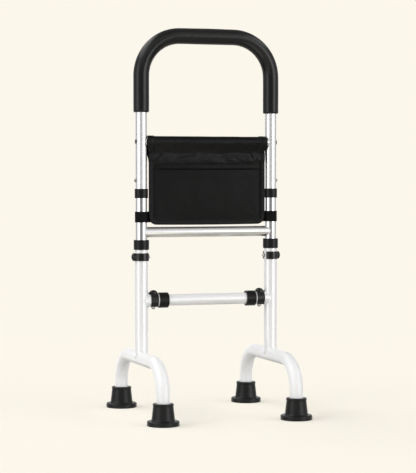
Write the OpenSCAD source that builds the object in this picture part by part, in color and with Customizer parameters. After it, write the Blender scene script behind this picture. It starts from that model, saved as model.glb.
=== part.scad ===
// Standing aid for use beside a couch: an inverted-U handle on two
// telescoping legs, a fabric pocket hung between the uprights, a low cross bar
// and two arched feet on rubber tips.
// Millimetres. The origin is on the floor, midway between the four feet.
// +X runs across the handle, -Y is the front, +Z is up.
// Drawn at the lowest of its height settings.

/* [Frame] */
// Distance between the two upright axes
track = 262; // [256:1:280]
// Distance between the front and rear foot axes
foot_pitch = 278; // [260:1:300]
// Height of the handle's top axis
handle_z = 724; // [718:1:742]
// Bend radius of the handle at the tube's axis
handle_bend = 77; // [66:1:86]
// Height of the joint between the handle tube and the mid tubes
joint_z = 424.2; // [423:0.1:426]
// Height of the mid bar's axis
mid_bar_z = 350.6; // [350:0.1:352]
// Height of the leg tops, with their collars
leg_top_z = 336; // [333:0.5:336.5]
// Height of the cross bar's axis
cross_z = 220.5; // [207:0.5:232]
// Height of the foot arch's axis
arch_z = 109.5; // [102:0.5:111]
// Bend radius of the foot arch at the tube's axis
arch_bend = 58; // [50:1:62]

/* [Tubes] */
// Outer diameter of the handle tube, mid tubes and cross bar
upper_od = 22; // [21.8:0.1:22]
// Wall of the handle tube, mid tubes and cross bar
upper_wall = 1.4; // [1.3:0.1:1.5]
// Outer diameter of the legs, stubs and foot arches
leg_od = 25.4; // [25.4:0.1:25.6]
// Wall of the legs, stubs and foot arches
leg_wall = 1.2; // [1.1:0.1:1.2]
// Outer diameter of the mid bar
mid_bar_od = 20; // [18:0.5:20.5]
// Outer diameter of the top bar that carries the bag
top_bar_od = 19; // [18.4:0.2:19]
// Height of the top bar's axis
top_bar_z = 522.5; // [520:0.5:525]

/* [Height setting] */
// Distance between two height settings
hole_pitch = 25.4; // [22:0.2:25.4]
// Number of height settings
hole_count = 7; // [5:1:7]
// Height of the locking pins on the legs
pin_z = 303.5; // [302:0.5:304]
// Diameter of the locking pins
pin_d = 8; // [7:0.5:8]
// Distance of the cross-bar pins from the leg's axis
cross_pin_in = 23.5; // [23.4:0.1:24]

/* [Snap buttons] */
// Height of the snap buttons
button_z = 449; // [447:0.5:456]
// Diameter of the snap buttons
button_d = 8; // [7.4:0.2:8]
// How far a snap button stands out of the tube
button_out = 3; // [2.4:0.1:3.2]

/* [Grip and bag] */
// Outer diameter of the foam grip
grip_od = 30.2; // [28:0.2:32]
// Height of the foam grip's lower ends
grip_low_z = 578; // [572:1:592]
// Width of the bag's body
bag_w = 234; // [224:1:234]
// Height of the bag's lower edge
bag_low_z = 364; // [363.5:0.5:366]
// Height of the front pocket's upper edge
pocket_top_z = 480; // [462:1:486]
// Depth of the pocket inside
pocket_depth = 8.4; // [6:0.2:9]

/* [Feet] */
// Diameter of a rubber tip's sole
tip_sole_d = 60; // [54:0.5:62]
// Height of a rubber tip
tip_h = 41; // [38:0.5:43]

/* [Hidden] */
$fn = 96;
hx = track / 2;                       // upright axis
hy = foot_pitch / 2;                  // foot axis
upper_r = upper_od / 2;
upper_id = upper_od - 2 * upper_wall;
leg_r = leg_od / 2;
leg_id = leg_od - 2 * leg_wall;
fit = 0.06;                           // running fit, radial
pin_hole_d = pin_d + 0.16;
collar_h = 18.7;                      // collar that caps a leg
cross_collar_h = 18.8;                // collar that caps a stub
collar_or = 14.75;
collar_lip = 1.6;
leg_end_z = leg_top_z - collar_lip - 0.05;
cross_collar_in = hx - 52;            // inboard face of the cross collar
stub_in = cross_collar_in + collar_lip + 0.05;
clip_w = 14.8;                        // width of a clip's band
clip_or = 14.7;
clip_gap = 40;                        // half angle of the clip's mouth
mid_low_z = pin_z - (hole_count - 1) * hole_pitch - 19.1;
spigot_r = upper_id / 2 - 0.1;
spigot_ri = spigot_r - 1.4;
spigot_top = joint_z + 56;
washer_z = 6.4;
tube_foot_z = 8;
bag_back_y = 0.9;                     // front face of the bag's back panel
bag_cloth = 2;                        // thickness of a bag wall
bag_corner = 17;

// Colours
c_alu = [0.86, 0.86, 0.87];
c_white = [0.95, 0.95, 0.96];
c_foam = [0.13, 0.13, 0.13];
c_plastic = [0.10, 0.10, 0.10];
c_rubber = [0.09, 0.09, 0.09];
c_cloth = [0.08, 0.08, 0.085];
c_steel = [0.66, 0.66, 0.67];

// ---- repeated shapes -------------------------------------------------

// straight tube along +Z
module tube(len, od, wall) {
    difference() {
        cylinder(h = len, d = od);
        translate([0, 0, -1]) cylinder(h = len + 2, d = od - 2 * wall);
    }
}

// quarter bend of a tube, from +X towards +Y, round the Z axis
module bend(r, od, wall) {
    rotate_extrude(angle = 90) translate([r, 0]) difference() {
        circle(d = od);
        circle(d = od - 2 * wall);
    }
}

// inverted U of tube in the XZ plane
module u_tube(w, top, low, r, od, wall) {
    for (s = [0, 1]) mirror([s, 0, 0]) {
        translate([w / 2, 0, low]) tube(top - r - low, od, wall);
        translate([w / 2 - r, 0, top - r]) rotate([90, 0, 0]) bend(r, od, wall);
    }
    translate([-(w / 2 - r), 0, top]) rotate([0, 90, 0]) tube(w - 2 * r, od, wall);
}

// tube along X between the two uprights, its ends coped to them
module coped_bar(od, wall, cope_r) {
    difference() {
        translate([-hx, 0, 0]) rotate([0, 90, 0]) tube(track, od, wall);
        for (s = [-1, 1]) translate([s * hx, 0, -30]) cylinder(h = 60, r = cope_r);
    }
}

// rectangle with its two outer corners rounded, from r = a to r = b
module edge_profile(a, b, h, f) {
    translate([a, 0]) square([b - a - f, h]);
    translate([a, f]) square([b - a, h - 2 * f]);
    for (z = [f, h - f]) translate([b - f, z]) circle(r = f);
}

// outline of a strip of thickness t along points p
function dir(a, b) = (b - a) / norm(b - a);
function nrm(d) = [-d[1], d[0]];
function side(p, i, h) =
    i == 0 ? p[0] + nrm(dir(p[0], p[1])) * h :
    i == len(p) - 1 ? p[i] + nrm(dir(p[i - 1], p[i])) * h :
    let (n0 = nrm(dir(p[i - 1], p[i])), n1 = nrm(dir(p[i], p[i + 1])), m = n0 + n1)
        p[i] + m * (h / (m * n0));
module strip(p, t) {
    polygon(concat([for (i = [0 : len(p) - 1]) side(p, i, t / 2)],
                   [for (i = [len(p) - 1 : -1 : 0]) side(p, i, -t / 2)]));
}

// moves a shape made for the right upright to the left or right one
module at_upright(s) {
    if (s > 0) translate([hx, 0, 0]) children();
    else mirror([1, 0, 0]) translate([hx, 0, 0]) children();
}

// ---- upper frame ------------------------------------------------------

module handle_tube() {
    color(c_alu) difference() {
        u_tube(track, handle_z, joint_z, handle_bend, upper_od, upper_wall);
        for (s = [-1, 1]) at_upright(s) {
            translate([-16, 0, top_bar_z]) rotate([0, 90, 0]) cylinder(h = 32, d = 5.4);
            translate([0, 0, button_z]) rotate([0, 90, 0])
                cylinder(h = 16, d = button_d + 0.2);
        }
    }
}

module handle_grip() {
    color(c_foam)
        u_tube(track, handle_z, grip_low_z, handle_bend, grip_od,
               (grip_od - upper_od) / 2 - 0.08);
}

module top_bar() {
    color(c_alu) translate([0, 0, top_bar_z]) coped_bar(top_bar_od, 1.2, upper_r + 0.05);
}

module top_bar_plugs() {
    color(c_plastic) for (s = [-1, 1]) at_upright(s) translate([0, 0, top_bar_z])
        difference() {
            translate([-35, 0, 0]) rotate([0, 90, 0])
                cylinder(h = 25, d = top_bar_od - 2.44);
            translate([0, 0, -20]) cylinder(h = 40, r = upper_r + 0.3);
            translate([-36, 0, 0]) rotate([0, 90, 0]) cylinder(h = 30, d = 5.04);
        }
}

// domed screw through the upright into the top bar's plug
module top_bar_screws() {
    seat = upper_r + 0.03;
    color(c_steel) for (s = [-1, 1]) at_upright(s) translate([0, 0, top_bar_z])
        rotate([0, 90, 0]) difference() {
            rotate_extrude() union() {
                translate([0, -31]) square([2.5, seat + 31.5]);
                translate([0, seat]) square([4.8, 0.4]);
                intersection() {
                    translate([0, seat + 1.5 - 11]) circle(r = 11);
                    translate([0, seat + 0.4]) square([8, 4]);
                }
            }
            translate([0, 0, seat + 0.7]) cylinder(h = 4, d = 4.2, $fn = 6);
        }
}

// mid tube with a reduced spigot on top and the row of height holes
module mid_tube(s) {
    color(c_alu) at_upright(s) difference() {
        rotate_extrude() polygon([
            [upper_id / 2, mid_low_z], [upper_r, mid_low_z],
            [upper_r, joint_z - 0.1], [spigot_r, joint_z - 0.1],
            [spigot_r, spigot_top], [spigot_ri, spigot_top],
            [spigot_ri, joint_z - 3], [upper_id / 2, joint_z - 11]]);
        for (k = [0 : hole_count - 1]) translate([-15, 0, pin_z - k * hole_pitch])
            rotate([0, 90, 0]) cylinder(h = 30, d = pin_hole_d);
        translate([0, 0, button_z]) rotate([0, 90, 0])
            cylinder(h = 16, d = button_d + 0.2);
    }
}
module mid_tube_left() { mid_tube(-1); }
module mid_tube_right() { mid_tube(1); }

// glide plugs in the lower ends of the mid tubes
module inner_tube_plugs() {
    r = leg_id / 2 - 0.08;
    p = upper_id / 2 - 0.05;
    color(c_plastic) for (s = [-1, 1]) at_upright(s) translate([0, 0, mid_low_z])
        rotate_extrude() polygon([
            [0, -4], [r - 0.5, -4], [r, -3.5], [r, -0.6], [r - 0.5, -0.05],
            [p, -0.05], [p, 13], [p - 0.6, 14], [p - 2, 14], [p - 2, -1.2], [0, -1.2]]);
}

module mid_bar() {
    color(c_alu) translate([0, 0, mid_bar_z]) coped_bar(mid_bar_od, 1.2, upper_r + 0.02);
}

// ring over the joint of handle tube and mid tube
module joint_collar(s) {
    h = 17.8;
    color(c_plastic) at_upright(s) translate([0, 0, joint_z - h / 2])
        rotate_extrude() edge_profile(upper_r + fit, 12.75, h, 0.7);
}
module joint_collar_left() { joint_collar(-1); }
module joint_collar_right() { joint_collar(1); }

module snap_button(s) {
    r = button_d / 2;
    tip = upper_r + button_out;
    color(c_steel) at_upright(s) translate([0, 0, button_z]) rotate([0, 90, 0]) {
        translate([0, 0, 5]) cylinder(h = 0.8, r = 5.2);
        translate([0, 0, 5.5]) cylinder(h = tip - r - 5.5, r = r);
        intersection() {
            translate([0, 0, tip - r]) sphere(r = r);
            translate([-6, -6, tip - r]) cube([12, 12, 8]);
        }
    }
}
module snap_button_left() { snap_button(-1); }
module snap_button_right() { snap_button(1); }

// V-shaped leaf spring inside the spigot, one arm behind the button
module snap_spring(s) {
    color(c_steel) at_upright(s) translate([0, 3.5, button_z]) rotate([90, 0, 0])
        linear_extrude(7) strip([[4.5, -7], [4.5, 8], [1.6, 19], [0.2, 21.5], [-1.2, 22.2],
                                 [-2.6, 21.5], [-3.6, 19], [-6.5, -8], [-6.3, -11]], 0.8);
}
module snap_spring_left() { snap_spring(-1); }
module snap_spring_right() { snap_spring(1); }

// ---- lower frame ------------------------------------------------------

// leg, coped over the foot arch
module leg_tube(s) {
    color(c_white) at_upright(s) difference() {
        translate([0, 0, arch_z + 3]) tube(leg_end_z - arch_z - 3, leg_od, leg_wall);
        translate([0, 30, arch_z]) rotate([90, 0, 0]) cylinder(h = 60, r = leg_r + 0.02);
        translate([-16, 0, pin_z]) rotate([0, 90, 0]) cylinder(h = 32, d = pin_hole_d);
    }
}
module leg_tube_left() { leg_tube(-1); }
module leg_tube_right() { leg_tube(1); }

// collar that caps a tube end and guides the tube inside, lip at the top
module cap_collar(h) {
    rotate_extrude() difference() {
        edge_profile(upper_r + fit, collar_or, h, 0.9);
        translate([0, -1]) square([leg_r + 0.05, h - collar_lip + 1]);
    }
}
module leg_collar(s) {
    color(c_plastic) at_upright(s) translate([0, 0, leg_top_z - collar_h])
        cap_collar(collar_h);
}
module leg_collar_left() { leg_collar(-1); }
module leg_collar_right() { leg_collar(1); }

// stub that takes the cross bar, coped to the leg
module cross_stub(s) {
    color(c_white) at_upright(s) difference() {
        translate([stub_in - hx, 0, cross_z]) rotate([0, 90, 0])
            tube(hx - stub_in - 3, leg_od, leg_wall);
        translate([0, 0, cross_z - 30]) cylinder(h = 60, r = leg_r + 0.02);
        translate([-cross_pin_in, 0, cross_z - 16]) cylinder(h = 32, d = pin_hole_d);
    }
}
module cross_stub_left() { cross_stub(-1); }
module cross_stub_right() { cross_stub(1); }

module cross_bar() {
    l = track - 30;
    color(c_white) difference() {
        translate([-l / 2, 0, cross_z]) rotate([0, 90, 0]) tube(l, upper_od, upper_wall);
        for (s = [-1, 1]) at_upright(s) translate([-cross_pin_in, 0, cross_z - 16])
            cylinder(h = 32, d = pin_hole_d);
    }
}

module cross_collar(s) {
    color(c_plastic) at_upright(s)
        translate([cross_collar_in + cross_collar_h - hx, 0, cross_z])
        rotate([0, -90, 0]) cap_collar(cross_collar_h);
}
module cross_collar_left() { cross_collar(-1); }
module cross_collar_right() { cross_collar(1); }

module foot_arch(s) {
    color(c_white) translate([s * hx, 0, 0]) rotate([0, 0, 90])
        u_tube(foot_pitch, arch_z, tube_foot_z, arch_bend, leg_od, leg_wall);
}
module foot_arch_left() { foot_arch(-1); }
module foot_arch_right() { foot_arch(1); }

// rubber tip: sole, tapered body and a raised rim round the tube
module foot_tip(x, y) {
    r = tip_sole_d / 2;
    color(c_rubber) translate([x * hx, y * hy, 0]) rotate_extrude() difference() {
        union() {
            square([r - 1.2, 6]);
            translate([0, 1.2]) square([r, 5.4]);
            translate([r - 1.2, 1.2]) circle(r = 1.2);
            square([r - 2.6, 9.2]);
            translate([r - 2.6, 6.6]) circle(r = 2.6);
            polygon([[0, 5], [22.6, 5], [22.6, 9.6], [21.6, 11.2],
                     [18.7, tip_h - 4.6], [0, tip_h - 4.6]]);
            translate([0, tip_h - 5]) edge_profile(0, 19.3, 5, 1.3);
        }
        translate([-1, washer_z - 0.02]) square([leg_r + 0.04 + 1, tip_h]);
        for (g = [9, 16, 23]) translate([g, -1]) square([2, 2.4]);
    }
}
module foot_tip_front_left() { foot_tip(-1, -1); }
module foot_tip_front_right() { foot_tip(1, -1); }
module foot_tip_rear_left() { foot_tip(-1, 1); }
module foot_tip_rear_right() { foot_tip(1, 1); }

// steel discs between the tube ends and the rubber
module foot_tip_washers() {
    color(c_steel) for (x = [-hx, hx], y = [-hy, hy]) translate([x, y, washer_z])
        difference() {
            cylinder(h = 1.5, d = leg_od - 0.6);
            translate([0, 0, -1]) cylinder(h = 4, d = 6);
        }
}

// ---- clips and pins ---------------------------------------------------

// C-clip round a tube along Z, its domed back towards +X, a lip on each arm
module clip_shape(tongue) {
    dome_r = 10.2;                    // radius of the dome
    dome_x = 9.4;                     // its middle
    rim = 1.2;                        // rounding where the dome meets its post
    post = clip_w / 2 + 0.15;
    rim_x = dome_x + sqrt(pow(dome_r - rim, 2) - pow(post - rim, 2));
    difference() {
        union() {
            rotate([0, 0, 180 + clip_gap]) rotate_extrude(angle = 360 - 2 * clip_gap)
                translate([0, -clip_w / 2]) edge_profile(12, clip_or, clip_w, 0.8);
            for (s = [-1, 1]) rotate([0, 0, 180 + s * clip_gap])
                translate([clip_or - 0.4, 0, -clip_w / 2]) rotate_extrude()
                edge_profile(0, 1.2, clip_w, 0.5);
            rotate([0, 90, 0]) rotate_extrude() union() {
                translate([0, 10.5]) square([post, rim_x - 10.5]);
                translate([post - rim, rim_x]) circle(r = rim);
                intersection() {
                    translate([0, dome_x]) circle(r = dome_r);
                    translate([0, 10.5]) square([(post - rim) * dome_r / (dome_r - rim), 12]);
                }
            }
            if (tongue > 0) rotate([0, 0, -22]) rotate_extrude(angle = 44)
                translate([12, -clip_w / 2 - tongue]) square([clip_or + 0.2 - 12, tongue + 1]);
        }
        translate([0, 0, -20]) cylinder(h = 40, r = leg_r + 0.08);
        rotate([0, 90, 0]) cylinder(h = 16.8, d = pin_d + 0.02);
    }
}

// steel pin with a round nose, along X, its head end towards +X
module pin_shape(nose) {
    r = pin_d / 2;
    rotate([0, 90, 0]) {
        translate([0, 0, r - nose]) cylinder(h = 16.75 + nose - r, r = r);
        intersection() {
            translate([0, 0, r - nose]) sphere(r = r);
            translate([-6, -6, -nose - 1]) cube([12, 12, r + 1]);
        }
    }
}

module height_clip(s) {
    color(c_plastic) at_upright(s) translate([0, 0, pin_z]) clip_shape(0);
}
module height_clip_left() { height_clip(-1); }
module height_clip_right() { height_clip(1); }

module height_pin(s) {
    color(c_steel) at_upright(s) translate([0, 0, pin_z]) pin_shape(17.4);
}
module height_pin_left() { height_pin(-1); }
module height_pin_right() { height_pin(1); }

module cross_clip(s) {
    color(c_plastic) at_upright(s) translate([-cross_pin_in, 0, cross_z])
        rotate([0, -90, 0]) clip_shape(cross_pin_in - clip_w / 2 - leg_r - 0.6);
}
module cross_clip_left() { cross_clip(-1); }
module cross_clip_right() { cross_clip(1); }

module cross_pin(s) {
    color(c_steel) at_upright(s) translate([-cross_pin_in, 0, cross_z])
        rotate([0, -90, 0]) pin_shape(17.4);
}
module cross_pin_left() { cross_pin(-1); }
module cross_pin_right() { cross_pin(1); }

// ---- bag --------------------------------------------------------------

// the bag's outline in the XZ plane, pulled in by d on the sides and bottom
module bag_outline(d, top) {
    w = bag_w / 2 - d;
    z = bag_low_z + d;
    c = bag_corner - d;
    translate([-w, z + c]) square([2 * w, top - z - c]);
    translate([-w + c, z]) square([2 * (w - c), c + 1]);
    for (s = [-1, 1]) translate([s * (w - c), z + c]) circle(r = c);
}
// a flat shape in XZ made solid from y = a to y = b
module wall(a, b) {
    translate([0, b, 0]) rotate([90, 0, 0]) linear_extrude(b - a) children();
}

// back panel with the sleeve that goes round the top bar
module bag_back() {
    color(c_cloth) difference() {
        union() {
            wall(bag_back_y, bag_back_y + bag_cloth) {
                bag_outline(0, 495);
                polygon([[-bag_w / 2, 494], [bag_w / 2, 494],
                         [hx - 11.5, top_bar_z - 9], [11.5 - hx, top_bar_z - 9]]);
            }
            translate([8 - hx, 0, top_bar_z]) rotate([0, 90, 0])
                cylinder(h = track - 16, r = top_bar_od / 2 + 1.5);
        }
        translate([-hx, 0, top_bar_z]) rotate([0, 90, 0])
            cylinder(h = track, r = top_bar_od / 2 + 0.15);
        for (s = [-1, 1]) translate([s * hx, 0, 400]) cylinder(h = 200, r = upper_r + 0.3);
    }
}

// front pocket: front wall with sides and bottom, open on top
module bag_pocket() {
    b = bag_back_y - 0.05;
    f = bag_back_y - pocket_depth - bag_cloth;
    color(c_cloth) difference() {
        wall(f, b) bag_outline(0, pocket_top_z);
        wall(f + bag_cloth, b + 1) bag_outline(bag_cloth, pocket_top_z + 2);
    }
}

// strap from the bag's back panel round a mid tube
module bag_strap(s) {
    y = bag_back_y + bag_cloth + 0.05;
    r = upper_r + 1.5;
    color(c_cloth) at_upright(s) translate([0, 0, 369.5]) linear_extrude(20) difference() {
        union() {
            circle(r = r);
            polygon([[0, 0], [-r * cos(50), r * sin(50)], [-17, y + 1.4], [-36, y + 1.4],
                     [-36, y], [-14.3, y], [-r * cos(20), -r * sin(20)]]);
        }
        circle(r = upper_r + 0.12);
    }
}
module bag_strap_left() { bag_strap(-1); }
module bag_strap_right() { bag_strap(1); }

// ---- drawing ----------------------------------------------------------

handle_tube();
handle_grip();
top_bar();
top_bar_plugs();
top_bar_screws();
mid_tube_left();
mid_tube_right();
inner_tube_plugs();
mid_bar();
joint_collar_left();
joint_collar_right();
snap_button_left();
snap_button_right();
snap_spring_left();
snap_spring_right();
leg_tube_left();
leg_tube_right();
leg_collar_left();
leg_collar_right();
cross_stub_left();
cross_stub_right();
cross_bar();
cross_collar_left();
cross_collar_right();
foot_arch_left();
foot_arch_right();
foot_tip_front_left();
foot_tip_front_right();
foot_tip_rear_left();
foot_tip_rear_right();
foot_tip_washers();
height_clip_left();
height_clip_right();
height_pin_left();
height_pin_right();
cross_clip_left();
cross_clip_right();
cross_pin_left();
cross_pin_right();
bag_back();
bag_pocket();
bag_strap_left();
bag_strap_right();
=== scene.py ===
import math

import bmesh
import bpy
import numpy as np
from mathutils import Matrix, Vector, noise


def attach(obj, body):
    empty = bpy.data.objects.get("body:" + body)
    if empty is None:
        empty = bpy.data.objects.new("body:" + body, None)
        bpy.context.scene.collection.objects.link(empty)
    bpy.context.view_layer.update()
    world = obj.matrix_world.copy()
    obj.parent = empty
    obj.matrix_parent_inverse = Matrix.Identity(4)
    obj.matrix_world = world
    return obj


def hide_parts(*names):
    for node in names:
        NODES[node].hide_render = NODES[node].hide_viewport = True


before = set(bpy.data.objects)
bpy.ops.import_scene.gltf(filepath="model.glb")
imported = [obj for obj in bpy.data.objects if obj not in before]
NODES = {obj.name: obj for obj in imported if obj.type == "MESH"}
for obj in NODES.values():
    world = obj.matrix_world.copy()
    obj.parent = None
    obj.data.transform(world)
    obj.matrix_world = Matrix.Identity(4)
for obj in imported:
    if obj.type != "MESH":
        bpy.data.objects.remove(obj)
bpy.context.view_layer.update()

MM = 0.001
SCENE = bpy.context.scene

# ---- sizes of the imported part, in millimetres ---------------------------
HX = 131.0            # upright axis
HANDLE_Z = 724.0      # handle's top axis
HANDLE_R = 77.0       # handle's bend radius
GRIP_LOW = 578.0
GRIP_R = 15.1
TUBE_R = 11.0
LEG_R = 12.7
BAR_Z = 522.5         # bar that carries the bag
MID_BAR_Z = 350.6
MID_BAR_R = 10.0
CROSS_Z = 220.5
ARCH_Z = 109.5
BAG_HALF = 116.4
BAG_LOW = 364.8
BAG_CORNER = 14.5
POCKET_TOP = 481.2


# =========================================================================
# materials
# =========================================================================
class Mat:
    """A material with a Principled shader and short calls that add nodes."""

    def __init__(self, name, **sockets):
        self.m = bpy.data.materials.new(name)
        self.m.use_nodes = True
        self.t = self.m.node_tree
        self.t.nodes.clear()
        self.out = self.t.nodes.new("ShaderNodeOutputMaterial")
        self.b = self.t.nodes.new("ShaderNodeBsdfPrincipled")
        self.link(self.b.outputs[0], self.out.inputs["Surface"])
        for k, v in sockets.items():
            self.b.inputs[k.replace("_", " ")].default_value = v
        self._co = {}

    def link(self, a, b):
        self.t.links.new(a, b)

    def node(self, kind, **props):
        n = self.t.nodes.new(kind)
        for k, v in props.items():
            setattr(n, k, v)
        return n

    def put(self, node, name, value):
        if hasattr(value, "is_output"):
            self.link(value, node.inputs[name])
        else:
            node.inputs[name].default_value = value

    def coords(self, scale=(1, 1, 1), rot=(0, 0, 0)):
        """Object coordinates in metres, stretched by scale."""
        if "tc" not in self._co:
            self._co["tc"] = self.node("ShaderNodeTexCoord")
        if scale == (1, 1, 1) and rot == (0, 0, 0):
            return self._co["tc"].outputs["Object"]
        mp = self.node("ShaderNodeMapping")
        self.link(self._co["tc"].outputs["Object"], mp.inputs["Vector"])
        mp.inputs["Scale"].default_value = scale
        mp.inputs["Rotation"].default_value = rot
        return mp.outputs["Vector"]

    def attribute(self, name):
        n = self.node("ShaderNodeAttribute", attribute_name=name)
        return n.outputs["Vector"]

    def noise(self, vec, scale, detail=3.0, rough=0.55, distortion=0.0):
        n = self.node("ShaderNodeTexNoise")
        self.link(vec, n.inputs["Vector"])
        n.inputs["Scale"].default_value = scale
        n.inputs["Detail"].default_value = detail
        n.inputs["Roughness"].default_value = rough
        n.inputs["Distortion"].default_value = distortion
        return n.outputs["Fac"]

    def voronoi(self, vec, scale, feature="F1", rand=1.0):
        n = self.node("ShaderNodeTexVoronoi", feature=feature)
        self.link(vec, n.inputs["Vector"])
        n.inputs["Scale"].default_value = scale
        n.inputs["Randomness"].default_value = rand
        return n.outputs["Distance"]

    def math(self, op, a, b=0.0, clamp=False):
        n = self.node("ShaderNodeMath", operation=op, use_clamp=clamp)
        for i, v in enumerate((a, b)):
            if hasattr(v, "is_output"):
                self.link(v, n.inputs[i])
            else:
                n.inputs[i].default_value = v
        return n.outputs[0]

    def span(self, v, lo, hi, to_lo, to_hi, smooth=False):
        n = self.node("ShaderNodeMapRange")
        if smooth:
            n.interpolation_type = "SMOOTHSTEP"
        self.link(v, n.inputs["Value"])
        for k, x in (("From Min", lo), ("From Max", hi), ("To Min", to_lo), ("To Max", to_hi)):
            n.inputs[k].default_value = x
        return n.outputs["Result"]

    def ramp(self, v, *stops):
        n = self.node("ShaderNodeValToRGB")
        self.link(v, n.inputs["Fac"])
        e = n.color_ramp.elements
        while len(e) > 1:
            e.remove(e[-1])
        e[0].position, e[0].color = stops[0][0], (*stops[0][1], 1)
        for pos, col in stops[1:]:
            x = e.new(pos)
            x.color = (*col, 1)
        return n.outputs["Color"]

    def mix(self, fac, a, b):
        n = self.node("ShaderNodeMix", data_type="RGBA")
        for i, v in ((0, fac), (6, a), (7, b)):
            if hasattr(v, "is_output"):
                self.link(v, n.inputs[i])
            else:
                n.inputs[i].default_value = v if i == 0 else (*v, 1)
        return n.outputs[2]

    def split(self, vec):
        n = self.node("ShaderNodeSeparateXYZ")
        self.link(vec, n.inputs[0])
        return n.outputs

    def bump(self, height, strength, distance, under=None):
        n = self.node("ShaderNodeBump")
        n.inputs["Strength"].default_value = strength
        n.inputs["Distance"].default_value = distance
        self.link(height, n.inputs["Height"])
        if under is not None:
            self.link(under, n.inputs["Normal"])
        return n.outputs["Normal"]

    def base(self, v):
        self.link(v, self.b.inputs["Base Color"])

    def rough(self, v):
        self.link(v, self.b.inputs["Roughness"])

    def normal(self, v):
        self.link(v, self.b.inputs["Normal"])


def drawn_aluminium(name, along, rough_lo, rough_hi, tone, scuff, lay):
    """Drawn tube: fine lines along the tube, faint handling marks."""
    m = Mat(name, Metallic=1.0)
    s = [1.0, 1.0, 1.0]
    s["xyz".index(along)] = 0.012
    line = m.noise(m.coords(tuple(s)), 1700.0, 4.0, 0.65)
    s["xyz".index(along)] = 0.004
    band = m.noise(m.coords(tuple(s)), 320.0, 2.0, 0.5)
    cloud = m.noise(m.coords(), 24.0, 4.0, 0.6)
    mark_co = m.coords((1, 1, 1), (0.5, 0.8, 0.3))
    mark = m.noise(mark_co, 190.0, 6.0, 0.75, 1.2)
    mark = m.span(mark, 0.63, 0.74, 0.0, 1.0)
    shade = m.math("ADD", m.math("MULTIPLY", cloud, 0.5), m.math("MULTIPLY", line, 0.5))
    m.base(m.ramp(shade, (0.3, tuple(c * 0.97 for c in tone)), (0.7, tone)))
    r = m.span(line, 0.25, 0.75, rough_lo, rough_hi)
    r = m.math("ADD", r, m.span(cloud, 0.35, 0.7, -0.01, 0.015))
    r = m.math("ADD", r, m.math("MULTIPLY", mark, scuff), clamp=True)
    m.rough(r)
    h = m.math("ADD", m.math("MULTIPLY", line, 0.35), m.math("MULTIPLY", band, 0.65))
    m.normal(m.bump(h, lay, 0.00006))
    return m.m


def white_paint(name="white_paint", metal=0.2, coat=0.3, r0=0.16, r1=0.20, gain=1.0):
    """Gloss powder coat over steel: faint orange peel, slight tone drift."""
    m = Mat(name, Metallic=metal, Coat_Weight=coat, Coat_Roughness=0.08, IOR=1.5)
    co = m.coords()
    peel = m.noise(co, 620.0, 2.0, 0.5)
    fine = m.noise(co, 2600.0, 2.0, 0.5)
    cloud = m.noise(co, 13.0, 4.0, 0.6)
    speck = m.span(m.noise(co, 900.0, 3.0, 0.6), 0.76, 0.80, 0.0, 1.0)
    col = m.ramp(cloud, (0.3, tuple(c * gain for c in (0.884, 0.886, 0.894))),
                 (0.7, tuple(c * gain for c in (0.898, 0.900, 0.907))))
    col = m.mix(m.math("MULTIPLY", speck, 0.08), col, (0.66, 0.64, 0.61))
    m.base(col)
    r = m.span(peel, 0.3, 0.7, r0, r1)
    m.rough(m.math("ADD", r, m.span(cloud, 0.35, 0.7, -0.01, 0.02), clamp=True))
    h = m.math("ADD", m.math("MULTIPLY", peel, 0.8), m.math("MULTIPLY", fine, 0.2))
    m.normal(m.bump(h, 0.05, 0.0001))
    return m.m


def grip_foam():
    """Closed-cell foam: a dull skin with small open cells whose pits carry painted shade, and soft mottling."""
    m = Mat("grip_foam", Sheen_Weight=0.01, Sheen_Roughness=0.5, Specular_IOR_Level=0.33)
    co = m.coords()
    cell = m.voronoi(co, 900.0)
    pit = m.voronoi(co, 420.0)
    pit = m.span(pit, 0.0, 0.22, 1.0, 0.0)
    pick = m.span(m.noise(co, 160.0, 2.0, 0.5), 0.50, 0.60, 0.0, 1.0)
    pit = m.math("MULTIPLY", pit, pick)
    cloud = m.noise(co, 30.0, 5.0, 0.6)
    fine = m.noise(co, 2400.0, 3.0, 0.6)
    col = m.ramp(cloud, (0.3, (0.0028, 0.0028, 0.0028)), (0.72, (0.0040, 0.0040, 0.0039)))
    # painted shade: the base colour is mixed darker inside the pits of the open cells
    col = m.mix(m.math("MULTIPLY", pit, 0.65), col, (0.0016, 0.0016, 0.0016))
    m.base(col)
    r = m.span(fine, 0.3, 0.7, 0.23, 0.28)
    m.rough(m.math("ADD", r, m.math("MULTIPLY", pit, 0.25), clamp=True))
    h = m.math("SUBTRACT", m.math("MULTIPLY", cell, 0.5), m.math("MULTIPLY", pit, 0.7))
    h = m.math("ADD", h, m.math("MULTIPLY", fine, 0.35))
    m.normal(m.bump(h, 0.10, 0.0003))
    return m.m


def black_plastic(name="black_plastic", level=0.24, r0=0.24, r1=0.32):
    """Moulded nylon: fine spark grain, scuffed a little lighter here and there."""
    m = Mat(name, Specular_IOR_Level=level)
    co = m.coords()
    grain = m.noise(co, 2600.0, 3.0, 0.65)
    cloud = m.noise(co, 55.0, 4.0, 0.6)
    scuff = m.span(m.noise(m.coords((1, 1, 0.25)), 420.0, 5.0, 0.7, 0.8), 0.64, 0.72, 0.0, 1.0)
    col = m.ramp(cloud, (0.3, (0.0024, 0.0024, 0.0025)), (0.7, (0.0036, 0.0036, 0.0037)))
    col = m.mix(m.math("MULTIPLY", scuff, 0.30), col, (0.010, 0.010, 0.0102))
    m.base(col)
    r = m.span(grain, 0.3, 0.7, r0, r1)
    m.rough(m.math("ADD", r, m.math("MULTIPLY", scuff, 0.14), clamp=True))
    m.normal(m.bump(grain, 0.10, 0.00012))
    return m.m


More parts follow.
